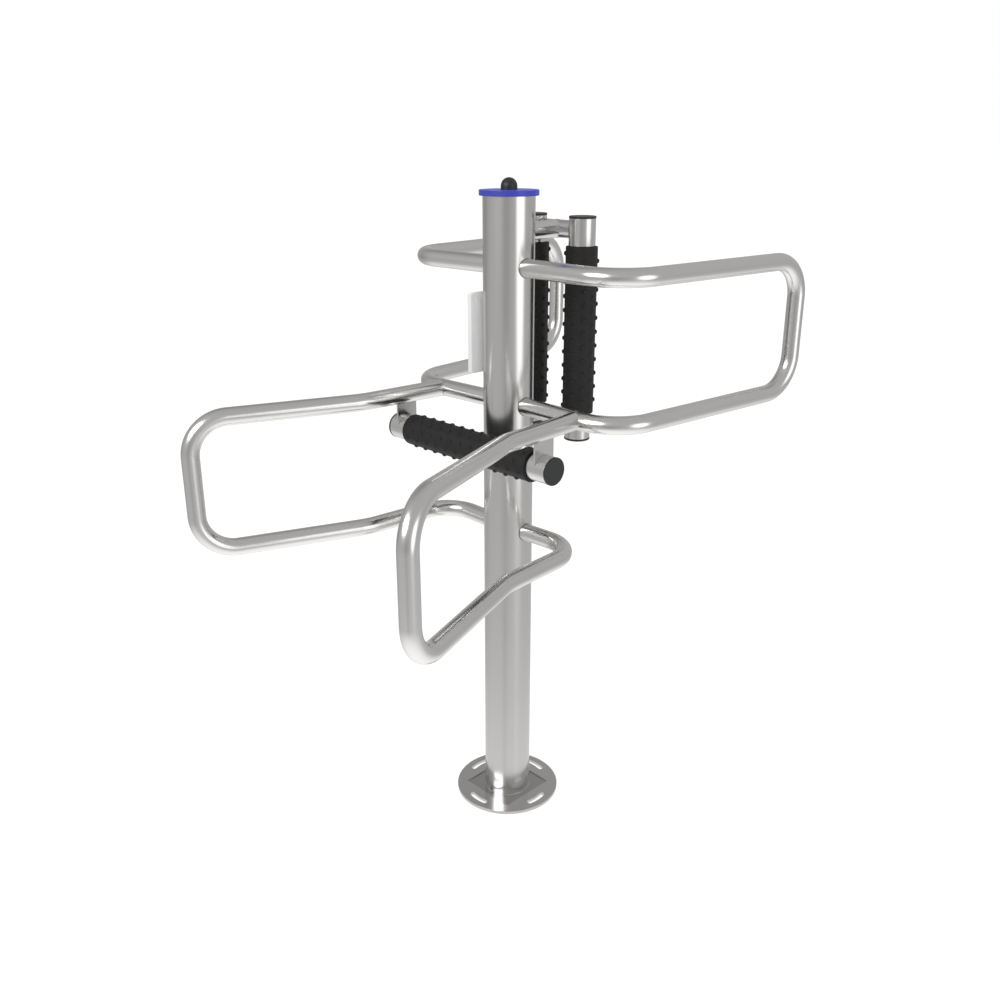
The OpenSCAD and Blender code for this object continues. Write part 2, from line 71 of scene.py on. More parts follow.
# Studded grip of each roller: its radius between the studs, and how the studs are laid out
GRIP_R = 36 * mm
STUD_ROWS, STUDS_PER_ROW = 10, 12

# Weld beads, and the widths of rounded edges
BEAD_R, FOOT_BEAD_R = 1.0 * mm, 0.8 * mm
CAP_EDGE, DOME_EDGE, FLANGE_EDGE = 1.0 * mm, 0.6 * mm, 0.7 * mm
SIGN_EDGE, SCREW_EDGE, HANGER_EDGE = 1.2 * mm, 0.3 * mm, 0.5 * mm
SLEEVE_EDGE, END_CAP_EDGE, GRIP_EDGE = 0.5 * mm, 1.4 * mm, 2 * mm

# Fineness of round shapes
POST_SIDES, GRIP_SIDES, SMALL_SIDES, TUBE_SIDES = 128, 96, 64, 48
BEAD_SIDES, BEAD_THICKNESS_SIDES, HOLE_SIDES, STUD_SIDES = 96, 10, 32, 14
DOME_STEPS = 12
BEND_STEP = math.radians(3.5)
# Points closer than this are one point: on a turned part, and on a copy of a CAD node
SAME_POINT, SAME_CAD_POINT = 0.001 * mm, 0.002 * mm


# Modelling helpers

def start_ring(radius, sides, centre, direction):
    """Opens a new mesh in edit mode with one ring, square to direction."""
    bpy.ops.object.select_all(action="DESELECT")
    turn = Vector(direction).to_track_quat("Z", "Y").to_euler()
    bpy.ops.mesh.primitive_circle_add(
        vertices=sides, radius=radius, location=centre, rotation=turn)
    bpy.ops.object.transform_apply(location=True, rotation=True, scale=True)
    bpy.ops.object.mode_set(mode="EDIT")
    bpy.ops.mesh.select_all(action="SELECT")


def draw_out(step):
    """Extrudes the selected ring by a step."""
    bpy.ops.mesh.extrude_region_move(TRANSFORM_OT_translate={"value": step})


def close_up(name):
    """Fills open ends, turns the faces outwards and leaves edit mode."""
    bpy.ops.mesh.select_all(action="SELECT")
    bpy.ops.mesh.fill_holes(sides=0)
    bpy.ops.mesh.normals_make_consistent(inside=False)
    bpy.ops.object.mode_set(mode="OBJECT")
    piece = bpy.context.active_object
    piece.name = piece.data.name = name
    return piece


def make_active(piece):
    bpy.ops.object.select_all(action="DESELECT")
    piece.select_set(True)
    bpy.context.view_layer.objects.active = piece


def smooth(piece, degrees=35):
    make_active(piece)
    bpy.ops.object.shade_smooth_by_angle(angle=math.radians(degrees))


def round_edges(piece, width, segments=3, degrees=40):
    """Rounds every edge that is sharper than an angle."""
    make_active(piece)
    bevel = piece.modifiers.new("Bevel", "BEVEL")
    bevel.width = width
    bevel.segments = segments
    bevel.limit_method = "ANGLE"
    bevel.angle_limit = math.radians(degrees)
    bevel.harden_normals = True
    for polygon in piece.data.polygons:
        polygon.use_smooth = True
    bpy.ops.object.modifier_apply(modifier=bevel.name)


def cut(piece, cutter):
    """Cuts one piece out of another and removes the cutter."""
    make_active(piece)
    boolean = piece.modifiers.new("Cut", "BOOLEAN")
    boolean.object = cutter
    boolean.solver = "EXACT"
    bpy.ops.object.modifier_apply(modifier=boolean.name)
    bpy.data.objects.remove(cutter)


def mark_grain(piece, places):
    """Stores where each point would lie if the tube were straight and upright."""
    grain = piece.data.attributes.new("grain", "FLOAT_VECTOR", "POINT")
    grain.data.foreach_set("vector", [number for place in places for number in place])


def mark_own_grain(piece):
    mark_grain(piece, [vertex.co.copy() for vertex in piece.data.vertices])


def turned(name, profile, sides, edge):
    """Round part about Z, drawn out ring by ring along (radius, height) pairs."""
    start_ring(profile[0][0], sides, (0, 0, profile[0][1]), Z_AXIS)
    for (old_r, old_z), (new_r, new_z) in zip(profile, profile[1:]):
        draw_out((0, 0, new_z - old_z))
        scale = new_r / old_r
        bpy.ops.transform.resize(value=(scale, scale, scale), center_override=(0, 0, new_z))
    bpy.ops.mesh.select_all(action="SELECT")
    bpy.ops.mesh.remove_doubles(threshold=SAME_POINT)
    piece = close_up(name)
    if edge:
        round_edges(piece, edge)
    else:
        smooth(piece)
    mark_own_grain(piece)
    return piece


def bent_tube(name, corners, bend_radii):
    """Tube whose axis follows the corners, each rounded by its bend."""
    corners = [Vector(corner) for corner in corners]
    headings = [(b - a).normalized() for a, b in zip(corners, corners[1:])]
    start_ring(TUBE_R, TUBE_SIDES, corners[0], headings[0])
    here, run = corners[0], [0.0]
    for corner, before, after, radius in zip(corners[1:], headings, headings[1:], bend_radii):
        angle = before.angle(after)
        setback = radius * math.tan(angle / 2)
        bend_start = corner - before * setback
        draw_out(bend_start - here)
        run.append(run[-1] + (bend_start - here).length)
        axis = before.cross(after).normalized()
        steps = math.ceil(angle / BEND_STEP)
        # The spin operator turns against the right-hand rule
        bpy.ops.mesh.spin(steps=steps, angle=-angle, axis=axis,
                          center=bend_start + axis.cross(before) * radius)
        run += [run[-1] + radius * angle * (step + 1) / steps for step in range(steps)]
        here = corner + after * setback
    draw_out(corners[-1] - here)
    run.append(run[-1] + (corners[-1] - here).length)
    piece = close_up(name)
    around = [2 * math.pi * side / TUBE_SIDES for side in range(TUBE_SIDES)]
    mark_grain(piece, [(TUBE_R * math.cos(turn), TUBE_R * math.sin(turn), length)
                       for length in run for turn in around])
    smooth(piece)
    return piece


def flat_bead(name, ring_r, bead_r, sides, place, heading):
    """Thin ring of weld, square to heading."""
    bpy.ops.object.select_all(action="DESELECT")
    bpy.ops.mesh.primitive_torus_add(
        major_radius=ring_r, minor_radius=bead_r, major_segments=sides,
        minor_segments=BEAD_THICKNESS_SIDES, location=place,
        rotation=heading.to_track_quat("Z", "Y").to_euler())
    bpy.ops.object.transform_apply(location=True, rotation=True, scale=True)
    piece = bpy.context.active_object
    piece.name = piece.data.name = name
    return piece


def weld_bead(name, place, heading, carrier_axis, carrier_r):
    """Weld round a tube where it meets a round carrier, whose axis goes through place."""
    heading, carrier_axis = Vector(heading).normalized(), Vector(carrier_axis).normalized()
    across = heading.cross(carrier_axis).normalized()
    piece = flat_bead(name, TUBE_R, BEAD_R, BEAD_SIDES, place, heading)
    # Each point slides along the tube until it lies on the carrier's round surface
    for vertex in piece.data.vertices:
        offset = (vertex.co - Vector(place)).dot(across)
        vertex.co += heading * math.sqrt(max(carrier_r ** 2 - offset ** 2, 0))
    smooth(piece, degrees=60)
    mark_own_grain(piece)
    return piece


def copy_of(piece, name, matrix=None):
    """Copy with a mesh of its own, moved inside its mesh."""
    copy = piece.copy()
    copy.data = piece.data.copy()
    copy.name = copy.data.name = name
    bpy.context.scene.collection.objects.link(copy)
    if matrix is not None:
        copy.data.transform(matrix)
        if matrix.determinant() < 0:
            copy.data.flip_normals()
    return copy


def cleaned(node, name, edge):
    """Copy of a CAD node with merged points, each flat face in one, and rounded edges."""
    copy = copy_of(frame["nodes"][node], name)
    copy.parent = None
    for key in list(copy.keys()):
        del copy[key]
    make_active(copy)
    bpy.ops.mesh.customdata_custom_splitnormals_clear()
    bpy.ops.object.mode_set(mode="EDIT")
    bpy.ops.mesh.select_all(action="SELECT")
    bpy.ops.mesh.remove_doubles(threshold=SAME_CAD_POINT)
    bpy.ops.mesh.dissolve_limited(angle_limit=math.radians(1))
    bpy.ops.object.mode_set(mode="OBJECT")
    round_edges(copy, edge, segments=2, degrees=45)
    mark_own_grain(copy)
    return copy


def joined(name, pieces):
    make_active(pieces[0])
    for piece in pieces:
        piece.select_set(True)
    bpy.ops.object.join()
    whole = bpy.context.active_object
    whole.name = whole.data.name = name
    return whole


# Materials

class Wire:
    """Output of a shader node, so that shader maths reads as a formula."""

    def __init__(self, nodes, socket):
        self.nodes, self.socket = nodes, socket

    def math(self, operation, first, second):
        return self.nodes.node("Math", {"operation": operation}, {0: first, 1: second})

    def __add__(self, other):
        return self.math("ADD", self, other)

    def __sub__(self, other):
        return self.math("SUBTRACT", self, other)

    def __rsub__(self, other):
        return self.math("SUBTRACT", other, self)

    def __mul__(self, other):
        return self.math("MULTIPLY", self, other)

    def __pow__(self, other):
        return self.math("POWER", self, other)

    __radd__ = __add__
    __rmul__ = __mul__

    def most(self, other):
        return self.math("MAXIMUM", self, other)


class Nodes:
    """Node tree of a material or the world."""

    def __init__(self, tree):
        self.tree = tree

    def node(self, kind, settings=None, inputs=None, output=0):
        made = self.tree.nodes.new("ShaderNode" + kind)
        for name, value in (settings or {}).items():
            if name == "stops":
                self.set_stops(made.color_ramp, value)
            else:
                setattr(made, name, value)
        for name, value in (inputs or {}).items():
            self.feed(made.inputs[name], value)
        return Wire(self, made.outputs[output])

    def feed(self, socket, value):
        if isinstance(value, Wire):
            self.tree.links.new(value.socket, socket)
        else:
            socket.default_value = value

    @staticmethod
    def set_stops(ramp, stops):
        """Sets a colour ramp to (position, colour) pairs."""
        while len(ramp.elements) < len(stops):
            ramp.elements.new(1.0)
        for element, (position, tone) in zip(ramp.elements, stops):
            element.position = position
            element.color = tone


class Finish(Nodes):
    """A material, built on one main shader."""

    def __init__(self, name, **constants):
        self.material = bpy.data.materials.new(name)
        self.material.use_nodes = True
        super().__init__(self.material.node_tree)
        self.shader = self.tree.nodes["Principled BSDF"]
        for socket, value in constants.items():
            self.drive(socket.replace("_", " "), value)

    def drive(self, socket, value):
        self.feed(self.shader.inputs[socket], value)

    def along_grain(self, stretch, detail=3.0):
        """Noise on the straightened tube, stretched by a number along each axis."""
        place = self.node("Attribute", {"attribute_name": "grain"}, output="Vector")
        return self.noise(place, stretch, detail)

    def in_space(self, stretch, detail=3.0):
        place = self.node("TexCoord", output="Object")
        return self.noise(place, stretch, detail)

    def noise(self, place, stretch, detail):
        scaled = self.node("VectorMath", {"operation": "MULTIPLY"}, {0: place, 1: stretch})
        return self.node("TexNoise", {}, {"Vector": scaled, "Scale": 1.0, "Detail": detail})

    def mix(self, share, first, second):
        return self.node("Mix", {"data_type": "RGBA"}, {0: share, 6: first, 7: second}, output=2)

    def bump(self, height, distance, strength=1.0):
        self.drive("Normal", self.node(
            "Bump", {}, {"Height": height, "Distance": distance, "Strength": strength}))


def colour(red, green, blue):
    return (red, green, blue, 1)


def steel(name, tone, roughness, lines, on_grain=True):
    """Stainless steel with fine lines along its length, smudges and small tone changes."""
    finish = Finish(name, Metallic=1.0)
    noise = finish.along_grain if on_grain else finish.in_space
    grain = noise((700, 700, 5), detail=4.0)
    smudge = noise((14, 14, 5), detail=2.0)
    rub = noise((160, 160, 30), detail=2.0)
    light = colour(tone, tone * 0.985, tone * 0.965)
    dark = colour(tone * 0.93, tone * 0.915, tone * 0.9)
    finish.drive("Base Color", finish.mix(grain * 0.5 + smudge * 0.5, dark, light))
    finish.drive("Roughness", roughness + (grain - 0.5) * lines + (smudge - 0.5) * 0.08
                 + (rub - 0.5) * 0.03)
    finish.bump(grain, 0.006 * mm, 0.5)
    return finish.material


def weld_finish():
    """Weld bead: darker and duller than the tube, with a slight heat tint."""
    finish = Finish("weld", Metallic=1.0)
    grain = finish.in_space((900, 900, 900))
    finish.drive("Base Color", finish.mix(grain, colour(0.05, 0.046, 0.042), colour(0.15, 0.14, 0.13)))
    finish.drive("Roughness", 0.38 + grain * 0.2)
    finish.bump(grain, 0.1 * mm)
    return finish.material


def plastic(name, base, roughness, texture, scuff):
    """Moulded plastic with a fine spark texture and pale scuffs."""
    finish = Finish(name)
    texture_noise = finish.in_space((1400, 1400, 1400), detail=2.0)
    patch = finish.in_space((35, 35, 35), detail=3.0)
    scratch = finish.in_space((60, 420, 420), detail=4.0)
    worn = (scratch - 0.62).most(0.0) * 3.0 * patch
    pale = colour(*[channel + (0.6 - channel) * scuff for channel in base])
    tint = colour(*[channel * 0.88 for channel in base])
    body = finish.mix(patch, tint, colour(*base))
    finish.drive("Base Color", finish.mix(worn, body, pale))
    finish.drive("Roughness", roughness + (patch - 0.5) * 0.1 + worn * 0.3)
    finish.bump(texture_noise, texture, 0.6)
    return finish.material


def rubber_finish():
    """Dull black rubber with a fine moulded skin and patches of paler dust."""
    finish = Finish("rubber_finish", Specular_IOR_Level=0.35)
    skin = finish.in_space((1100, 1100, 1100), detail=3.0)
    dust = finish.in_space((45, 45, 45), detail=4.0)
    finish.drive("Base Color", finish.mix(
        dust, colour(0.008, 0.0082, 0.0083), colour(0.019, 0.0194, 0.0188)))
    finish.drive("Roughness", 0.56 + dust * 0.16 + (skin - 0.5) * 0.08)
    finish.bump(skin, 0.05 * mm, 0.6)
    return finish.material


def board_finish():
    """Bare white sign board, gloss coated, a little duller where rain has dried."""
    finish = Finish("board_finish")
    streak = finish.in_space((50, 50, 6), detail=3.0)
    peel = finish.in_space((420, 420, 420), detail=2.0)
    finish.drive("Base Color", finish.mix(streak, colour(0.89, 0.89, 0.885), colour(0.94, 0.94, 0.94)))
    finish.drive("Roughness", 0.22 + streak * 0.18)
    finish.bump(peel, 0.02 * mm, 0.5)
    return finish.material


polished = steel("polished_finish", tone=0.74, roughness=0.22, lines=0.05)
satin = steel("satin_finish", tone=0.72, roughness=0.215, lines=0.07)
# The flange plate's steel is a darker copy of the satin steel: painted shade
plate_painted_shade = steel("plate_painted_shade_finish", tone=0.66, roughness=0.215, lines=0.07)
# The floor of the flange's recess gets a steel darker still: painted shade in the recess
recess_painted_shade = steel("recess_painted_shade_finish", tone=0.5, roughness=0.2, lines=0.06, on_grain=False)
turned_steel = steel("turned_finish", tone=0.58, roughness=0.28, lines=0.06, on_grain=False)
fastener_steel = steel("fastener_finish", tone=0.66, roughness=0.25, lines=0.05, on_grain=False)
weld = weld_finish()
cap_plastic = plastic(
    "cap_finish", base=(0.041, 0.052, 0.50), roughness=0.36, texture=0.02 * mm, scuff=0.25)
black_plastic = plastic(
    "black_finish", base=(0.018, 0.0205, 0.019), roughness=0.42, texture=0.03 * mm, scuff=0.10)
rubber = rubber_finish()
board = board_finish()

FINISHES = {
    "brushed_steel": satin, "polished_steel": polished, "bearing_steel": turned_steel,
    "zinc_steel": fastener_steel, "blue_plastic": cap_plastic,
    "black_plastic": black_plastic, "white_panel": board, "black_rubber": rubber}
SLOT_OF = {part["node"]: part["material_slot"] for part in frame["record"]["subparts"]}
BODY_OF = {node: body for body, nodes in frame["record"]["behaviour"]["bodies"].items()
           for node in nodes}


def dress(piece, material):
    piece.data.materials.clear()
    piece.data.materials.append(material)


def stand_for(piece, node):
    """The piece takes the place, body and finish of a CAD node."""
    dress(piece, FINISHES[SLOT_OF[node]])
    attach(piece, BODY_OF[node])
    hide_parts(node)


def add_bead(piece, finish=weld):
    dress(piece, finish)
    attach(piece, "frame")


for node, cad in frame["nodes"].items():
    for slot in cad.material_slots:
        slot.material = FINISHES[SLOT_OF[node]]


# Post, flange and cap

post_low, post_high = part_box("post")
POST_R = (post_high.x - post_low.x) / 2
FLANGE_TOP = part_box("base_flange")[1].z
# The drain hole's middle is one hole's width above the post's foot
drain_z = post_low.z + 2 * DRAIN_R


def make_post():
    # Rings close to the drain hole keep the faces round it small
    low_ring, upper_ring = post_low.z + 1 * mm, 60 * mm
    levels = [post_low.z, low_ring, drain_z + 3 * DRAIN_R, upper_ring, post_high.z]
    bore_r = POST_R - POST_WALL
    profile = [(POST_R, z) for z in levels] + [(bore_r, z) for z in reversed(levels)]
    piece = turned("post_tube", [*profile, profile[0]], POST_SIDES, edge=0)
    bpy.ops.object.select_all(action="DESELECT")
    bpy.ops.mesh.primitive_cylinder_add(
        vertices=HOLE_SIDES, radius=DRAIN_R, depth=POST_R, location=(0, -POST_R, drain_z),
        rotation=(math.pi / 2, 0, 0))
    cut(piece, bpy.context.active_object)
    smooth(piece)
    # The cut added points, so the grain is marked anew
    piece.data.attributes.remove(piece.data.attributes["grain"])
    mark_own_grain(piece)
    stand_for(piece, "post")
    # Weld round the post's foot, in the flange's recess
    foot = flat_bead("post_foot_weld", POST_R, FOOT_BEAD_R, POST_SIDES, (0, 0, post_low.z), Z_AXIS)
    smooth(foot, degrees=60)
    mark_own_grain(foot)
    add_bead(foot, satin)


def make_cap():
    low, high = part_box("top_cap")
    disc_r = (high.x - low.x) / 2
    # The cap's spigot lies hidden in the post, so only its disc is made
    disc = turned("cap_disc", [(disc_r, post_high.z), (disc_r, high.z)], POST_SIDES, CAP_EDGE)
    stand_for(disc, "top_cap")
    low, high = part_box("cap_dome")
    dome_r = (high.x - low.x) / 2
    shoulder = high.z - dome_r
    # Straight skirt, then a round head
    profile = [(dome_r, low.z), (dome_r, shoulder)]
    for step in range(1, DOME_STEPS):
        turn = math.pi / 2 * step / DOME_STEPS
        profile.append((dome_r * math.cos(turn), shoulder + dome_r * math.sin(turn)))
    dome = turned("cap_button", profile, SMALL_SIDES, DOME_EDGE)
    smooth(dome, degrees=50)
    stand_for(dome, "cap_dome")


def make_flange():
    piece = cleaned("base_flange", "flange_plate", FLANGE_EDGE)
    stand_for(piece, "base_flange")
    # The plate has a darker steel colour than the tubes, which is painted shade, and the floor of its
    # recess is darker still, painted shade in the recess
    dress(piece, plate_painted_shade)
    piece.data.materials.append(recess_painted_shade)
    floor_below = FLANGE_TOP - 1 * mm
    # Faces below the plate's top that look up form the recess floor, which takes the painted shade
    for polygon in piece.data.polygons:
        looks_up = polygon.normal.z > 0.9
        if looks_up and polygon.center.z < floor_below:
            polygon.material_index = 1


def make_sign():
    piece = cleaned("sign_panel", "sign_board", SIGN_EDGE)
    stand_for(piece, "sign_panel")
    screws = cleaned("sign_screws", "sign_screw_set", SCREW_EDGE)
    stand_for(screws, "sign_screws")


# Handles

def level(point, z):
    return Vector((point[0], point[1], z))


def trimmed(start, towards, distance):
    """Point on the way from start towards another, where a tube's end lies hidden."""
    return start + (towards - start).normalized() * distance


def mirrored_pair(right_piece, right_name, left_name):
    """The right piece and its mirror image on the left."""
    right_piece.name = right_piece.data.name = right_name
    left = copy_of(right_piece, left_name, Matrix.Diagonal((-1, 1, 1, 1)))
    return right_piece, left


def make_high_handles():
    top_start = trimmed(level((0, 0), TOP_LEVEL), level(HIGH_BEND, TOP_LEVEL), FROM_POST_AXIS)
    mid_end = trimmed(level((0, 0), MID_LEVEL), level(HIGH_BEND, MID_LEVEL), FROM_POST_AXIS)
    corners = [top_start, level(HIGH_BEND, TOP_LEVEL), level(HIGH_CORNER, TOP_LEVEL),
               level(HIGH_CORNER, MID_LEVEL), level(HIGH_BEND, MID_LEVEL), mid_end]
    tube = bent_tube("high_handle", corners, [HIGH_BEND_R, CORNER_R, CORNER_R, HIGH_BEND_R])
    right, left = mirrored_pair(tube, "high_right_handle_tube", "high_left_handle_tube")
    stand_for(right, "high_right_handle")
    stand_for(left, "high_left_handle")
    for label, z in (("top", TOP_LEVEL), ("bottom", MID_LEVEL)):
        bead = weld_bead("bead", level((0, 0), z), level(HIGH_BEND, 0), Z_AXIS, POST_R)
        for piece in mirrored_pair(bead, f"high_right_{label}_weld", f"high_left_{label}_weld"):
            add_bead(piece)


def make_low_handles():
    branch = level(BRANCH, MID_LEVEL)
    branch_start = trimmed(branch, level(KINK, MID_LEVEL), FROM_TUBE_AXIS)
    low_end = trimmed(level((0, 0), LOW_LEVEL), level(LOW_BEND, LOW_LEVEL), FROM_POST_AXIS)
    corners = [branch_start, level(KINK, MID_LEVEL), level(LOW_CORNER, MID_LEVEL),
               level(LOW_CORNER, LOW_LEVEL), level(KINK, LOW_LEVEL), level(LOW_BEND, LOW_LEVEL),
               low_end]
    tube = bent_tube("low_handle", corners, [KINK_R, CORNER_R, CORNER_R, KINK_R, LOW_BEND_R])
    right, left = mirrored_pair(tube, "low_right_handle_tube", "low_left_handle_tube")
    stand_for(right, "low_right_handle")
    stand_for(left, "low_left_handle")
    bead = weld_bead("bead", level((0, 0), LOW_LEVEL), level(LOW_BEND, 0), Z_AXIS, POST_R)
    for piece in mirrored_pair(bead, "low_right_post_weld", "low_left_post_weld"):
        add_bead(piece)
    along_branch = level(KINK, MID_LEVEL) - branch
    bead = weld_bead("bead", branch, along_branch, level(HIGH_BEND, 0), TUBE_R)
    for piece in mirrored_pair(bead, "right_branch_weld", "left_branch_weld"):
        add_bead(piece, polished)


# Brackets of the upright rollers and plates of the waist roller

def make_brackets():
    low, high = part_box("right_roller_top_sleeve")
    sleeve_r = (high - low).x / 2
    for label in ("top", "bottom"):
        low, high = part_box(f"{label}_crossbar")
        bar_y, bar_z = (low.y + high.y) / 2, (low.z + high.z) / 2
        roller_x = middle(f"right_roller_{label}_sleeve").x
        end_x = roller_x - FROM_SLEEVE_AXIS
        bar = bent_tube(f"{label}_crossbar_tube",
                        [(-end_x, bar_y, bar_z), (end_x, bar_y, bar_z)], [])
        stand_for(bar, f"{label}_crossbar")
        stub = bent_tube(f"{label}_stub_tube",
                         [(0, FROM_POST_AXIS, bar_z), (0, bar_y - FROM_TUBE_AXIS, bar_z)], [])
        stand_for(stub, f"{label}_stub")
        add_bead(weld_bead(f"{label}_stub_post_weld", (0, 0, bar_z), Y_AXIS, Z_AXIS, POST_R))
        add_bead(weld_bead(f"{label}_stub_bar_weld", (0, bar_y, bar_z), -Y_AXIS, X_AXIS, TUBE_R),
                 polished)
        bead = weld_bead("bead", (roller_x, bar_y, bar_z), -X_AXIS, Z_AXIS, sleeve_r)
        for piece in mirrored_pair(bead, f"{label}_right_bar_weld", f"{label}_left_bar_weld"):
            add_bead(piece)


def make_hanger_plates():
    for side in ("right", "left"):
        piece = cleaned(f"{side}_hanger_plate", f"{side}_hanger", HANGER_EDGE)
        stand_for(piece, f"{side}_hanger_plate")


# Rollers, each modelled upright about Z and then put in its place

def middle(node):
    low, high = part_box(node)
    return (low + high) / 2


UPRIGHT = Matrix.Identity(4)
# The waist roller's own axis lies along +X, and its own +X points down
LEVEL_TURN = Matrix.Rotation(math.pi / 2, 4, "Y")
# How each roller lies, the names of its two ends from +Z down, and on its grip the place of
# the first row of studs and which way round the rows go on
ROLLERS = {
    "right_roller": (UPRIGHT, "top", "bottom", 0, 1),
    "left_roller": (UPRIGHT, "top", "bottom", math.pi, -1),
    "waist_roller": (LEVEL_TURN, "right", "left", 0, 1)}


def make_stud(grip_r):
    """One domed stud with a filleted foot, pointing along +X on the grip's surface."""
    # Radius, and height over the grip's surface, in millimetres: fillet, side and round top
    profile = [(7.2, -0.7), (6.2, -0.15), (5.5, 0.35), (5.05, 1.0), (4.7, 1.8), (4.0, 2.75),
               (3.0, 3.45), (1.7, 3.87), (0.5, 4.0)]
    stud = turned("stud", [(r * mm, z * mm) for r, z in profile], STUD_SIDES, edge=0)
    smooth(stud, degrees=80)
    # Lay the stud's axis along +X, and wrap its foot round the grip
    stud.data.transform(Matrix.Rotation(math.pi / 2, 4, "Y"))
    for vertex in stud.data.vertices:
        reach, turn = grip_r + vertex.co.x, vertex.co.y / grip_r
        vertex.co.x, vertex.co.y = reach * math.cos(turn), reach * math.sin(turn)
    return stud


def make_grip(name, length, first_turn, sense):
    """Rubber grip with rows of studs, in which every second row is set half a pitch on."""
    body = turned(name, [(GRIP_R, -length / 2), (GRIP_R, length / 2)], GRIP_SIDES, GRIP_EDGE)
    stud = make_stud(GRIP_R)
    pitch = length / STUDS_PER_ROW
    studs = []
    for row in range(STUD_ROWS):
        spin = Matrix.Rotation(first_turn + sense * 2 * math.pi * row / STUD_ROWS, 4, "Z")
        for k in range(STUDS_PER_ROW - row % 2):
            z = -length / 2 + pitch * (k + (row % 2 + 1) / 2)
            studs.append(copy_of(stud, f"stud_{row}_{k}", Matrix.Translation((0, 0, z)) @ spin))
    bpy.data.objects.remove(stud)
    return joined(name, [body, *studs])


def make_sleeve(name, sleeve_r, inner, outer):
    """Steel cup that is open at its outer end and has a hole for the axle in its floor."""
    bore_r, lip_top = sleeve_r - SLEEVE_WALL, inner + SLEEVE_LIP_T
    profile = [(SLEEVE_LIP_R, inner), (sleeve_r, inner), (sleeve_r, outer), (bore_r, outer),
               (bore_r, lip_top), (SLEEVE_LIP_R, lip_top), (SLEEVE_LIP_R, inner)]
    return turned(name, profile, SMALL_SIDES, SLEEVE_EDGE)


def set_at_end(piece, place, sign):
    """Moves a piece to its roller's place, mirrored where it belongs to the other end."""
    piece.data.transform(place @ Matrix.Diagonal((1, 1, sign, 1)))
    if sign < 0:
        piece.data.flip_normals()


def make_roller(name):
    turn, plus_end, minus_end, first_turn, sense = ROLLERS[name]
    place = Matrix.Translation(middle(f"{name}_grip")) @ turn
    back = place.inverted()

    def local(node):
        """Lowest and highest corner of a node in the roller's own frame."""
        corners = [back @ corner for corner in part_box(node)]
        return (Vector(map(min, *corners)), Vector(map(max, *corners)))

    low, high = local(f"{name}_grip")
    body = make_grip(f"{name}_rubber", high.z - low.z, first_turn, sense)
    body.data.transform(place)
    stand_for(body, f"{name}_grip")

    _, cap_high = local(f"{name}_end_caps")
    cap_r = cap_high.y
    for sign, end in ((1, plus_end), (-1, minus_end)):
        low, high = local(f"{name}_{end}_sleeve")
        inner, outer = sorted((abs(low.z), abs(high.z)))
        sleeve = make_sleeve(f"{name}_{end}_sleeve_tube", high.y, inner, outer)
        set_at_end(sleeve, place, sign)
        stand_for(sleeve, f"{name}_{end}_sleeve")
        cap = turned(f"{name}_{end}_cap", [(cap_r, outer), (cap_r, cap_high.z)], SMALL_SIDES,
                     END_CAP_EDGE)
        set_at_end(cap, place, sign)
        stand_for(cap, f"{name}_end_caps")


make_post()
make_flange()
make_cap()
make_sign()
make_high_handles()
make_low_handles()
make_brackets()
make_hanger_plates()
for roller in ROLLERS:
    make_roller(roller)


# Camera at the photograph's place, which was found from the edges of the post and the tubes

CAMERA_PLACE = Vector((1.5621, -1.5621, 1.5962))
CAMERA_HEADING = Vector((-0.6706, 0.6590, -0.3405))
LENS_MM, SENSOR_MM = 35.65, 36
NEAREST, FARTHEST = 0.05, 200

camera_data = bpy.data.cameras.new("camera")
camera_data.lens = LENS_MM
camera_data.sensor_width = SENSOR_MM
camera_data.clip_start, camera_data.clip_end = NEAREST, FARTHEST
camera = bpy.data.objects.new("camera", camera_data)
camera.location = CAMERA_PLACE
camera.rotation_mode = "QUATERNION"
camera.rotation_quaternion = CAMERA_HEADING.to_track_quat("-Z", "Y")
bpy.context.scene.collection.objects.link(camera)
bpy.context.scene.camera = camera


# Studio: pale floor, soft boxes and a room that the steel mirrors

# Level directions as seen from the station: towards the camera, and to the camera's right
TO_CAMERA = Vector((1, -1, 0)).normalized()
TO_RIGHT = Vector((1, 1, 0)).normalized()
FLOOR_SIZE = 60
# The lamps look at the middle of the station from this far off
LAMP_TARGET, LAMP_DISTANCE = Vector((0, 0, 0.8)), 4.5


def room_direction(azimuth, elevation):
    """Direction at angles from the camera's side, to its right and up."""
    a, e = math.radians(azimuth), math.radians(elevation)
    flat = TO_CAMERA * math.cos(a) + TO_RIGHT * math.sin(a)
    return flat * math.cos(e) + Z_AXIS * math.sin(e)


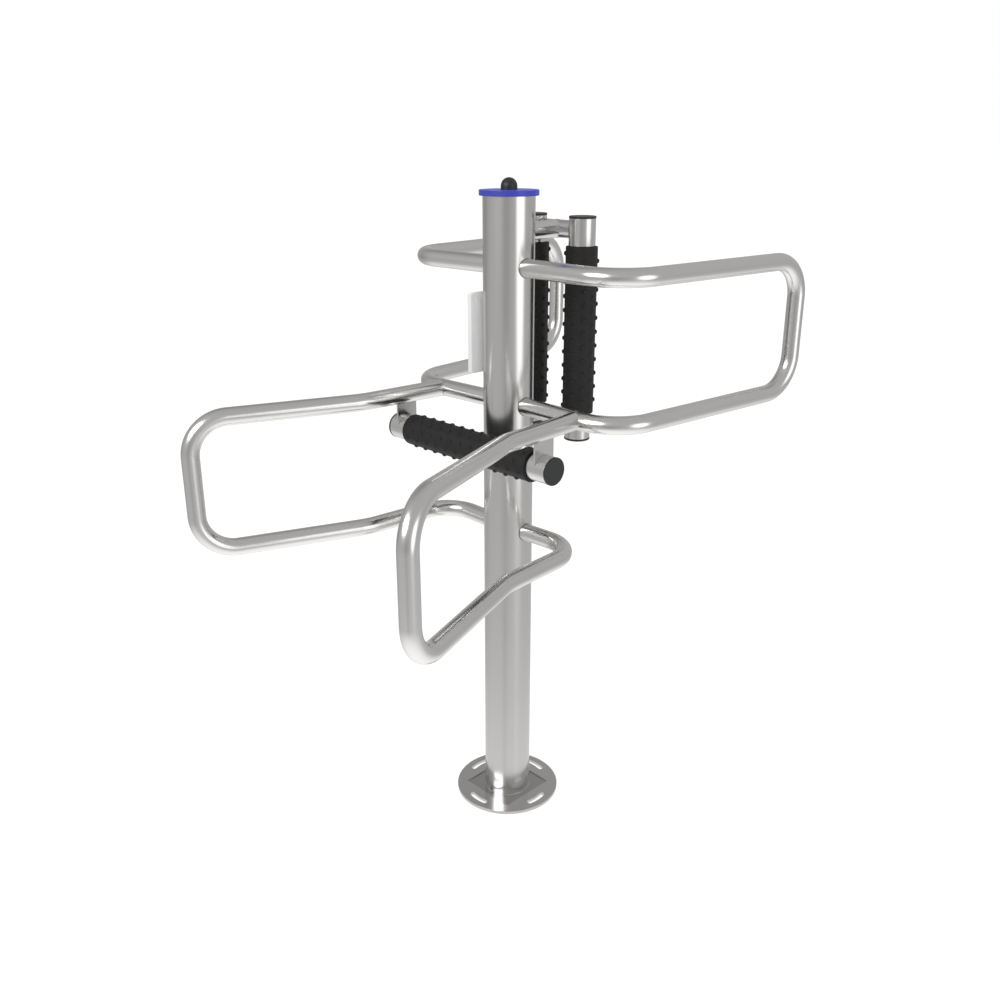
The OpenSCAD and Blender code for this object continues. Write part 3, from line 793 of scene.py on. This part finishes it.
def make_world():
    world = bpy.data.worlds.new("studio")
    world.use_nodes = True
    bpy.context.scene.world = world
    nodes = Nodes(world.node_tree)
    background = world.node_tree.nodes["Background"]
    place = nodes.node("TexCoord", output="Generated")
    height = nodes.node("SeparateXYZ", {}, {0: place}, output="Z") * 0.5 + 0.5
    # Brightness of the room from straight down to straight up
    stops = [(0.0, 1.3), (0.1, 1.15), (0.19, 0.88), (0.235, 0.74), (0.265, 0.59), (0.33, 0.55),
             (0.455, 0.49), (0.6, 0.52), (0.77, 0.53), (1.0, 0.5)]
    greys = [(at, colour(grey, grey, grey)) for at, grey in stops]
    room = nodes.node("ValToRGB", {"stops": greys}, {0: height})

    def toward(azimuth, elevation):
        """Cosine of the angle from a direction in the room."""
        return nodes.node("VectorMath", {"operation": "DOT_PRODUCT"},
                          {0: place, 1: room_direction(azimuth, elevation)}, output="Value")

    def glow(azimuth, elevation, sharpness):
        return toward(azimuth, elevation).most(0.0) ** sharpness

    def pane(azimuth, elevation, inner, outer):
        """Round bright pane that fades between two angles from its middle."""
        return nodes.node("MapRange", {"interpolation_type": "SMOOTHSTEP"}, {
            0: toward(azimuth, elevation), 1: math.cos(math.radians(outer)),
            2: math.cos(math.radians(inner)), 3: 0.0, 4: 1.0})

    # Bright window to the right of the camera, and dark patches in the rest of the room
    window = pane(52, 3, 13, 25) * 1.25 + glow(38, -20, 34.0) * 0.15
    shade = glow(-12, -4, 22.0) * 0.13 + glow(-128, -4, 12.0) * 0.16 + glow(-158, 40, 8.0) * 0.21
    shade += glow(-14, -30, 60.0) * 0.09 + glow(30, -30, 90.0) * 0.07
    mirrored = room + window - shade
    is_camera = nodes.node("LightPath", output="Is Camera Ray")
    is_glossy = nodes.node("LightPath", output="Is Glossy Ray")
    # The room is only mirrored: it lights at one even level, and the camera sees plain white
    level_light = 0.97
    light = level_light + is_glossy * (mirrored - level_light)
    nodes.feed(background.inputs["Color"], colour(1, 1, 1))
    nodes.feed(background.inputs["Strength"], light + is_camera * (1.0 - light))


def make_floor():
    """Floor that the camera sees as mostly plain white, with a faint shadow of the station."""
    bpy.ops.object.select_all(action="DESELECT")
    bpy.ops.mesh.primitive_plane_add(size=FLOOR_SIZE, location=(0, 0, 0))
    floor = bpy.context.active_object
    floor.name = "floor"
    finish = Finish("floor_finish", Base_Color=colour(0.86, 0.86, 0.86), Roughness=0.9)
    white = finish.node("Emission", {}, {"Color": colour(1, 1, 1), "Strength": 1.12})
    white_share = finish.node("LightPath", output="Is Camera Ray") * 0.82
    lit = Wire(finish, finish.shader.outputs[0])
    mixed = finish.node("MixShader", {}, {0: white_share, 1: lit, 2: white})
    finish.feed(finish.tree.nodes["Material Output"].inputs["Surface"], mixed)
    dress(floor, finish.material)
    floor.visible_glossy = False


def soft_box(name, azimuth, elevation, width, height, power):
    """Oval area lamp, placed by angles as room_direction takes them."""
    lamp_data = bpy.data.lights.new(name, "AREA")
    lamp_data.shape = "ELLIPSE"
    lamp_data.size, lamp_data.size_y = width, height
    lamp_data.energy = power
    lamp = bpy.data.objects.new(name, lamp_data)
    outward = room_direction(azimuth, elevation)
    lamp.location = LAMP_TARGET + outward * LAMP_DISTANCE
    lamp.rotation_mode = "QUATERNION"
    lamp.rotation_quaternion = (-outward).to_track_quat("-Z", "Y")
    bpy.context.scene.collection.objects.link(lamp)
    return lamp


make_world()
make_floor()
# The front box shows only as highlights on the steel, and the top one only as light
front_box = soft_box("front_left_box", azimuth=-48, elevation=31, width=3.4, height=2.2, power=90)
front_box.visible_diffuse = False
top_box = soft_box("top_box", azimuth=150, elevation=70, width=2.6, height=2.6, power=60)
top_box.visible_glossy = False

scene = bpy.context.scene
scene.view_settings.view_transform = "Standard"
